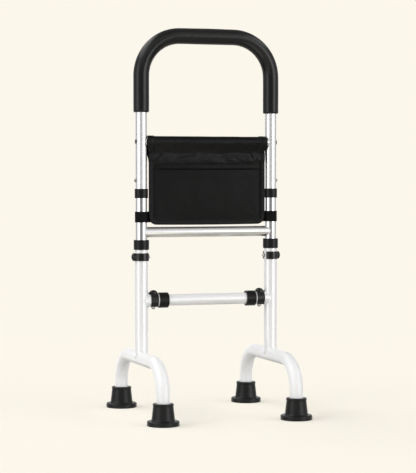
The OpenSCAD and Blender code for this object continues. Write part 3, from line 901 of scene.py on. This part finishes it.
def edge_path(top, inset, step=2.0):
    """Points along the bag's left side, bottom and right side, with the outward direction."""
    pts, out = [], []
    c = BAG_CORNER
    for z in np.arange(top, BAG_LOW + c, -step):
        pts.append((-BAG_HALF, z))
        out.append((-1.0, 0.0))
    for k in range(13):
        g = math.pi + math.pi / 2 * k / 12
        pts.append((-BAG_HALF + c + c * math.cos(g), BAG_LOW + c + c * math.sin(g)))
        out.append((math.cos(g), math.sin(g)))
    half = BAG_HALF - c
    for x in np.linspace(-half, half, int(2 * half / step))[1:-1]:
        pts.append((x, BAG_LOW))
        out.append((0.0, -1.0))
    mirror = [((-p[0], p[1]), (-o[0], o[1])) for p, o in zip(pts, out) if p[0] < -half + 0.01]
    pts += [p for p, _ in mirror[::-1]]
    out += [o for _, o in mirror[::-1]]
    res = []
    for p, o in zip(pts, out):
        lift = (low_edge(p[0]) - BAG_LOW) * max(0.0, 1 - (p[1] - BAG_LOW) / 116.0)
        res.append((p[0] - o[0] * inset, p[1] - o[1] * inset + lift))
    return np.array(res), np.array(out)


BIND_W, BIND_H, BIND_TOP = 6.4, 1.95, 502.0


def bind_mid(z):
    """y of the middle of the edge tape: two layers up to the pocket's mouth, one above it."""
    if z <= BODY_TOP:
        one = side_y(z)
    else:
        one = back_mid(BODY_TOP) - 0.1 * (z - BODY_TOP)
    return EDGE_Y + (one - EDGE_Y) * float(smooth(479, 487, z))


def bind_half(z):
    return BIND_H * (1 - 0.32 * float(smooth(479, 487, z)))


def binding():
    """Tape folded over the sewn edges, down one side, along the bottom and up the other."""
    pts, out = edge_path(BIND_TOP, 0.0, 1.6)
    s = length_along(np.array([(p[0], 0, p[1]) for p in pts]))
    n = len(pts)
    path = np.array([(p[0], bind_mid(p[1]), p[1]) for p in pts])
    side = np.array([(o[0], 0.0, o[1]) for o in out])
    up = np.tile(np.array([0.0, -1.0, 0.0]), (n, 1))
    w, h = BIND_W, BIND_H
    prof0 = [(-w, h - 0.75), (-w - 0.22, h - 0.38), (-w, h - 0.05), (-w * 0.86, h), (-w * 0.78, h - 0.16),
             (-w * 0.70, h), (-w * 0.45, h + 0.02), (-w * 0.2, h)]
    for k in range(9):
        g = math.pi / 2 - math.pi * k / 8
        prof0.append((0.95 - 1.2 + 1.2 * math.cos(g), h * math.sin(g)))
    prof0 += [(-w * 0.2, -h), (-w * 0.45, -h - 0.02), (-w * 0.70, -h), (-w * 0.78, -h + 0.16), (-w * 0.86, -h),
              (-w, -h + 0.05), (-w - 0.22, -h + 0.38), (-w, -h + 0.75)]
    prof0 += [(-w * 0.5, -h + 0.75), (-1.0, -h + 0.8), (-1.0, h - 0.8), (-w * 0.5, h - 0.75)]
    prof0 = np.array(prof0)
    profs = np.zeros((n, len(prof0), 2))
    for i in range(n):
        a = s[i]
        pf = prof0.copy()
        pf[:, 1] *= bind_half(pts[i][1]) / BIND_H
        wob = 0.12 * noise.noise(Vector((a / 9.0, 3.3, 0))) + 0.05 * math.sin(a * 0.9)
        pf[:, 1] += np.sign(pf[:, 1]) * wob * 0.35 * (np.abs(pf[:, 0]) > 1.5)
        pf[:, 0] += wob * 0.6
        profs[i] = pf
    v, f = sweep(path, side, up, profs, cap=True)
    m = len(prof0)
    across = np.concatenate([[0], np.cumsum(np.linalg.norm(np.diff(prof0, axis=0), axis=1))])
    fl = np.zeros((n, m, 3))
    fl[..., 0] = across[None, :]
    fl[..., 1] = s[:, None]
    return make("bag_edge_binding", v, f, TAPE, "upper_frame", fl.reshape(-1, 3))


def bag_stitching(loop):
    parts = []
    xs = np.linspace(-105, 105, 160)
    # pocket hem
    parts.append(stitches([(x, pocket_y(x, HEM_Z) - CLOTH_T / 2 - 0.12, front_lift(x, HEM_Z)) for x in xs],
                          [(0, -1, 0)] * len(xs)))
    # both faces of the edge tape
    for face in (-1, 1):
        p, _ = edge_path(BIND_TOP - 2.0, BIND_W * 0.78, 1.6)
        parts.append(stitches([(q[0], bind_mid(q[1]) + face * (bind_half(q[1]) - 0.1), q[1]) for q in p],
                              [(0, face, 0)] * len(p)))
    # sewn line of the pocket's margin, front and back
    p, _ = edge_path(POCKET_TOP - 1.0, SEW_D, 1.6)
    parts.append(stitches([(q[0], pocket_y(q[0], q[1]) - CLOTH_T / 2 - 0.04, q[1]) for q in p], [(0, -1, 0)] * len(p)))
    parts.append(stitches([(q[0], back_y(q[0], q[1]) + CLOTH_T / 2 + 0.02, q[1]) for q in p if q[1] < 464],
                          [(0, 1, 0)] * sum(1 for q in p if q[1] < 464)))
    # two rows that hold the lap behind
    tail = loop[loop[:, 1] < 480]
    tail = tail[np.argsort(tail[:, 1])]
    tail = tail[tail[:, 0] > np.interp(tail[:, 1], BACK_SECTION[:, 1], BACK_SECTION[:, 0]) + 0.3]
    for z in (471.2, 467.4):
        y0 = float(np.interp(z, tail[:, 1], tail[:, 0]))
        parts.append(stitches([(x, y0 + lap_follow(x, z) + CLOTH_T / 2 + 0.02, z) for x in xs], [(0, 1, 0)] * len(xs)))
    v, f = joined(parts)
    return make("bag_stitching", v, f, THREAD, "upper_frame")


BAG_BACK, LOOP = back_panel()
BAG_FRONT = front_panel()
BINDING = binding()
STITCH = bag_stitching(LOOP)


def strap(side):
    """Webbing from the bag's rear corner round the mid tube and back on to itself."""
    R = TUBE_R + 0.78
    zc = 379.5
    pts = [(-37.0, 1.05), (-31.0, 0.6), (-26.0, 0.15), (-21.5, -0.25), (-17.5, -0.38), (-14.6, -0.40), (-13.2, -0.75),
           (-12.35, -1.7)]
    for g in np.linspace(196, 506, 80):
        a = math.radians(g)
        grow = 0.35 * smooth(470, 506, g)
        pts.append(((R + grow) * math.cos(a), (R + grow) * math.sin(a)))
    pts += [(-11.6, 4.9), (-13.8, 3.0), (-16.6, 1.75), (-20.0, 1.28), (-24.5, 1.42), (-29.0, 1.85), (-33.0, 2.25)]
    p = resample(pts, 1.2)
    s = length_along(p)
    across = np.array([-10.0, -9.6, -8.4, -5.0, -2.5, 0, 2.5, 5.0, 8.4, 9.6, 10.0])
    P = np.zeros((len(p), len(across), 3))
    F = np.zeros_like(P)
    T = np.zeros(P.shape[:2])
    for i, (x, y) in enumerate(p):
        for j, a in enumerate(across):
            wob = 0.25 * noise.noise(Vector((s[i] / 22.0, a / 30.0, side * 5.0)))
            edge = 0.12 * noise.noise(Vector((s[i] / 7.0, side * 9.0 + (1 if a > 0 else 0), 2.0)))
            P[i, j] = (side * (HX + x), y, zc + a + (edge if abs(a) > 7 else 0.0) + wob * 0.5)
            F[i, j] = (a + 600, s[i] + 300 * side, 0)
            T[i, j] = 1.2 - 0.35 * (abs(a) > 9.5)
    v, f, fl = cloth_grid(P, T, F)
    name = "left" if side < 0 else "right"
    o = make("strap_" + name, v, f, WEB, "upper_frame", fl)
    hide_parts("bag_strap_" + name)
    # box stitch through the strap's sewn end, seen from behind
    low, high = zc - 7.0, zc + 7.0
    parts = []
    rear = resample([(-33.0, 2.25), (-29.0, 1.85), (-24.5, 1.42), (-20.0, 1.28)], 0.5)
    for a, b in (((99.5, low), (109.5, low)), ((109.5, low), (109.5, high)), ((109.5, high), (99.5, high)),
                 ((99.5, high), (99.5, low)), ((99.5, low), (109.5, high)), ((99.5, high), (109.5, low))):
        q = []
        for t in np.linspace(0, 1, 12):
            x = a[0] + (b[0] - a[0]) * t
            q.append((side * x, float(np.interp(x - HX, rear[:, 0], rear[:, 1])) + 0.62, a[1] + (b[1] - a[1]) * t))
        parts.append(stitches(q, [(0, 1, 0)] * 12, 2.2, 0.6))
    v, f = joined(parts)
    return o, make("strap_stitching_" + name, v, f, THREAD, "upper_frame")


for sd in (-1, 1):
    strap(sd)


# =========================================================================
# weld beads
# =========================================================================
def bead(name, curve, out, mat, body, r, ripple, pitch):
    """A closed bead along a curve, its section rounded and rippled like laid weld metal."""
    c = np.asarray(curve, float)
    n = len(c)
    t = np.roll(c, -1, 0) - np.roll(c, 1, 0)
    t /= np.linalg.norm(t, axis=1, keepdims=True)
    o = np.asarray(out, float)
    o -= (o * t).sum(1, keepdims=True) * t
    o /= np.linalg.norm(o, axis=1, keepdims=True)
    b = np.cross(t, o)
    s = length_along(np.vstack([c, c[:1]]))
    laps = max(1, round(s[-1] / pitch))
    seg = 12
    prof = np.zeros((n, seg, 2))
    for i in range(n):
        ph = s[i] / s[-1] * laps
        saw = (ph - math.floor(ph))
        k = 1 + ripple * (0.6 * math.cos(2 * math.pi * saw) + 0.4 * noise.noise(Vector((ph * 0.37, 1.7, len(name)))))
        for j in range(seg):
            g = 2 * math.pi * j / seg
            prof[i, j] = (r * k * math.cos(g), r * k * math.sin(g))
    v, f = sweep(c, o, b, prof, closed_path=True)
    return make(name, v, f, mat, body)


def saddle(r_bar, r_post, n=180):
    """Joint line of a bar of radius r_bar on a post of radius r_post: (reach, across, along the post)."""
    pts, out = [], []
    for k in range(n):
        g = 2 * math.pi * k / n
        a, z = r_bar * math.sin(g), r_bar * math.cos(g)
        x = math.sqrt(max(r_post ** 2 - a * a, 0.0))
        pts.append((x, a, z))
        out.append((x / r_post * 0.7, a / r_post * 0.7 + math.sin(g), math.cos(g)))
    return np.array(pts), np.array(out)


for sd, nm in ((-1, "left"), (1, "right")):
    p, o = saddle(MID_BAR_R, TUBE_R)
    q = np.stack([sd * (HX - p[:, 0]), p[:, 1], MID_BAR_Z + p[:, 2]], 1)
    d = np.stack([-sd * o[:, 0], o[:, 1], o[:, 2]], 1)
    bead("mid_bar_weld_" + nm, q, d, ALU_WELD, "upper_frame", 1.15, 0.10, 2.4)
    p, o = saddle(LEG_R, LEG_R)
    reach = np.maximum(p[:, 0], 2.6)
    q = np.stack([sd * (HX - reach), p[:, 1], CROSS_Z + p[:, 2]], 1)
    d = np.stack([-sd * o[:, 0], o[:, 1], o[:, 2]], 1)
    bead("stub_weld_" + nm, q, d, WHITE, "lower_frame", 1.5, 0.06, 2.8)
    # the arch runs along Y, so the joint line rises over it across X
    q = np.stack([sd * HX + p[:, 1], p[:, 2], ARCH_Z + np.maximum(np.sqrt(np.maximum(LEG_R ** 2 - p[:, 1] ** 2, 0)), 2.6)], 1)
    d = np.stack([o[:, 1], o[:, 2], o[:, 0]], 1)
    bead("arch_weld_" + nm, q, d, WHITE, "lower_frame", 1.6, 0.06, 2.8)


# =========================================================================
# floor, light and camera
# =========================================================================
CREAM = (0.972, 0.929, 0.832)
BOUNCE = (0.98, 0.955, 0.90)
CAM_AZ = math.radians(18.67)
FRONT = (-math.sin(CAM_AZ), -math.cos(CAM_AZ), 0.0)
RIGHT = (math.cos(CAM_AZ), -math.sin(CAM_AZ), 0.0)


def make_floor():
    bpy.ops.mesh.primitive_circle_add(vertices=64, radius=40.0, fill_type="NGON", location=(0, 0, 0))
    fl = bpy.context.object
    fl.name = "floor"
    m = bpy.data.materials.new("studio_floor")
    m.use_nodes = True
    t = m.node_tree
    t.nodes.clear()
    out = t.nodes.new("ShaderNodeOutputMaterial")
    dif = t.nodes.new("ShaderNodeBsdfDiffuse")
    dif.inputs["Color"].default_value = (*FLOOR_TONE, 1)
    emi = t.nodes.new("ShaderNodeEmission")
    emi.inputs["Color"].default_value = (*CREAM, 1)
    mix = t.nodes.new("ShaderNodeMixShader")
    co = t.nodes.new("ShaderNodeTexCoord")
    ln = t.nodes.new("ShaderNodeVectorMath")
    ln.operation = "LENGTH"
    mr = t.nodes.new("ShaderNodeMapRange")
    mr.interpolation_type = "SMOOTHSTEP"
    for k, v in (("From Min", 0.5), ("From Max", 2.6), ("To Min", 0.4), ("To Max", 1.0)):
        mr.inputs[k].default_value = v
    t.links.new(co.outputs["Object"], ln.inputs[0])
    t.links.new(ln.outputs["Value"], mr.inputs["Value"])
    t.links.new(mr.outputs["Result"], mix.inputs["Fac"])
    t.links.new(dif.outputs[0], mix.inputs[1])
    t.links.new(emi.outputs[0], mix.inputs[2])
    t.links.new(mix.outputs[0], out.inputs["Surface"])
    fl.data.materials.append(m)
    # the object is lit and mirrored by the studio alone, as over a wide sweep of paper
    fl.visible_diffuse = False
    fl.visible_glossy = False
    # a pale card on the floor towards the camera, seen only in the shine of the feet
    bpy.ops.mesh.primitive_plane_add(size=1.0, location=(FRONT[0] * 0.78, FRONT[1] * 0.78, 0.0005),
                                     rotation=(0, 0, math.radians(-18.7)))
    card = bpy.context.object
    card.name = "bounce_card"
    m = bpy.data.materials.new("bounce_card")
    m.use_nodes = True
    t = m.node_tree
    t.nodes.clear()
    out = t.nodes.new("ShaderNodeOutputMaterial")
    emi = t.nodes.new("ShaderNodeEmission")
    emi.inputs["Color"].default_value = (*BOUNCE, 1)
    emi.inputs["Strength"].default_value = 1.6
    clear = t.nodes.new("ShaderNodeBsdfTransparent")
    mix = t.nodes.new("ShaderNodeMixShader")
    co = t.nodes.new("ShaderNodeTexCoord")
    ln = t.nodes.new("ShaderNodeVectorMath")
    ln.operation = "LENGTH"
    mr = t.nodes.new("ShaderNodeMapRange")
    mr.interpolation_type = "SMOOTHSTEP"
    mr.inputs["From Min"].default_value = 0.36
    mr.inputs["From Max"].default_value = 0.5
    t.links.new(co.outputs["Object"], ln.inputs[0])
    t.links.new(ln.outputs["Value"], mr.inputs["Value"])
    t.links.new(mr.outputs["Result"], mix.inputs["Fac"])
    t.links.new(emi.outputs[0], mix.inputs[1])
    t.links.new(clear.outputs[0], mix.inputs[2])
    t.links.new(mix.outputs[0], out.inputs["Surface"])
    card.data.materials.append(m)
    card.visible_camera = False
    card.visible_diffuse = False
    card.visible_shadow = False


def make_world():
    """Two soft strip lights left and right, a dim gap behind the camera, a soft light high in front,
    a pale wall above the strips and a sweep of pale floor below."""
    w = bpy.data.worlds.new("studio")
    SCENE.world = w
    w.use_nodes = True
    t = w.node_tree
    t.nodes.clear()
    L = t.links.new

    def node(kind, **k):
        n = t.nodes.new(kind)
        for a, b in k.items():
            setattr(n, a, b)
        return n

    def dot(vec, d):
        n = node("ShaderNodeVectorMath", operation="DOT_PRODUCT")
        L(vec, n.inputs[0])
        n.inputs[1].default_value = d
        return n.outputs["Value"]

    def step(v, lo, hi):
        n = node("ShaderNodeMapRange", interpolation_type="SMOOTHSTEP")
        L(v, n.inputs["Value"])
        n.inputs["From Min"].default_value = lo
        n.inputs["From Max"].default_value = hi
        return n.outputs["Result"]

    def ramp(v, stops):
        n = node("ShaderNodeValToRGB")
        L(v, n.inputs["Fac"])
        e = n.color_ramp.elements
        while len(e) > 1:
            e.remove(e[-1])
        for k, (pos, val) in enumerate(stops):
            x = e[0] if k == 0 else e.new(pos)
            x.position = pos
            x.color = (*[c / RING_MAX for c in val], 1)
        return n.outputs["Color"]

    def mix(fac, a, b):
        n = node("ShaderNodeMix", data_type="RGBA")
        L(fac, n.inputs[0])
        for i, v in ((6, a), (7, b)):
            if hasattr(v, "is_output"):
                L(v, n.inputs[i])
            else:
                n.inputs[i].default_value = (*[c / RING_MAX for c in v], 1)
        return n.outputs[2]

    def sine(deg):
        return math.sin(math.radians(deg))

    out = node("ShaderNodeOutputWorld")
    co = node("ShaderNodeTexCoord").outputs["Generated"]
    f, r, z = dot(co, FRONT), dot(co, RIGHT), dot(co, (0, 0, 1))
    ang = node("ShaderNodeMath", operation="ARCTAN2")
    L(r, ang.inputs[0])
    L(f, ang.inputs[1])
    pos = node("ShaderNodeMapRange")
    L(ang.outputs[0], pos.inputs["Value"])
    pos.inputs["From Min"].default_value = -math.pi
    pos.inputs["From Max"].default_value = math.pi
    ring = ramp(pos.outputs["Result"], [(0.5 + d / 360.0, (v, v, v)) for d, v in RING])
    wall = mix(step(f, -0.35, 0.45), WALL_BACK, WALL_FRONT)
    col = mix(step(z, sine(15), sine(30)), ring, wall)
    col = mix(step(z, sine(40), sine(68)), col, CEILING)
    high = dot(co, (FRONT[0] * math.cos(math.radians(HIGH_AT)), FRONT[1] * math.cos(math.radians(HIGH_AT)), sine(HIGH_AT)))
    col = mix(step(high, math.cos(math.radians(24)), math.cos(math.radians(13))), col, HIGH)
    for lo, hi, tone in ((-0.30, -0.46, HIGH_LEFT), (0.62, 0.70, HIGH_RIGHT)):
        box = node("ShaderNodeMath", operation="MULTIPLY")
        L(step(r, lo, hi), box.inputs[0])
        L(step(z, sine(28), sine(38)), box.inputs[1])
        col = mix(box.outputs[0], col, tone)
    fall = node("ShaderNodeMath", operation="MULTIPLY")
    L(z, fall.inputs[0])
    fall.inputs[1].default_value = -1.0
    ground = ramp(fall.outputs[0], GROUND)
    flags = ramp(pos.outputs["Result"], [(0.5 + d / 360.0, (RING_MAX * v,) * 3) for d, v in FLAGS])
    near = node("ShaderNodeMix", data_type="RGBA", blend_type="MULTIPLY")
    L(step(z, sine(-34), sine(-22)), near.inputs[0])
    L(ground, near.inputs[6])
    L(flags, near.inputs[7])
    ground = near.outputs[2]
    col = mix(step(z, sine(-5.4), sine(-6.4)), col, ground)
    env = node("ShaderNodeBackground")
    L(col, env.inputs["Color"])
    env.inputs["Strength"].default_value = RING_MAX
    flat = node("ShaderNodeBackground")
    flat.inputs["Color"].default_value = (*CREAM, 1)
    path = node("ShaderNodeLightPath")
    both = node("ShaderNodeMixShader")
    L(path.outputs["Is Camera Ray"], both.inputs["Fac"])
    L(env.outputs[0], both.inputs[1])
    L(flat.outputs[0], both.inputs[2])
    L(both.outputs[0], out.inputs["Surface"])


def make_camera():
    cam = bpy.data.cameras.new("camera")
    o = bpy.data.objects.new("camera", cam)
    SCENE.collection.objects.link(o)
    d = 3.392
    o.location = (-d * math.sin(CAM_AZ), -d * math.cos(CAM_AZ), 0.4596)
    o.rotation_euler = (math.radians(90 - 2.003), 0.0, math.radians(-18.712))
    cam.sensor_width = 36.0
    cam.lens = 36.0 * 1764.0 / 473.0
    cam.clip_start, cam.clip_end = 0.05, 200.0
    SCENE.camera = o


# radiance round the object by angle from the camera's direction, + to the camera's right
RING_MAX = 5.0
RING = [(-180, 1.2), (-158, 1.0), (-138, 0.5), (-115, 0.48), (-95, 0.56), (-78, 0.9), (-62, 2.4), (-48, 2.5), (-34, 1.05), (-24, 0.45), (-14, 0.20),
        (0, 0.17), (14, 0.17), (24, 0.32), (35, 0.78), (47, 3.7), (60, 3.5), (76, 1.25), (95, 0.6), (115, 0.48), (138, 0.5),
        (158, 1.0), (180, 1.2)]
WALL_FRONT = (0.85, 0.85, 0.85)
WALL_BACK = (0.2, 0.2, 0.195)
CEILING = (0.40, 0.395, 0.385)
HIGH = (0.88, 0.88, 0.875)        # soft light high in front
HIGH_AT = 27
HIGH_LEFT = (2.9, 2.88, 2.84)     # soft boxes high on both sides
HIGH_RIGHT = (2.6, 2.59, 2.56)
GROUND = [(0.09, (1.45, 1.42, 1.36)), (0.19, (1.38, 1.35, 1.28)), (0.35, (0.56, 0.55, 0.51)), (0.7, (0.63, 0.61, 0.56)),
          (1.0, (0.51, 0.49, 0.45))]
# dark flags low at the sides, which give upright tubes an edge when seen from above
FLAGS = [(-180, 0.95), (-132, 0.9), (-112, 0.36), (-68, 0.36), (-52, 1.0), (52, 1.0), (68, 0.36), (112, 0.36), (132, 0.9),
         (180, 0.95)]
FLOOR_TONE = (0.965, 0.92, 0.83)

make_floor()
make_world()
make_camera()
SCENE.view_settings.view_transform = "Standard"
SCENE.view_settings.look = "None"
SCENE.view_settings.exposure = 0.0
SCENE.view_settings.gamma = 1.0
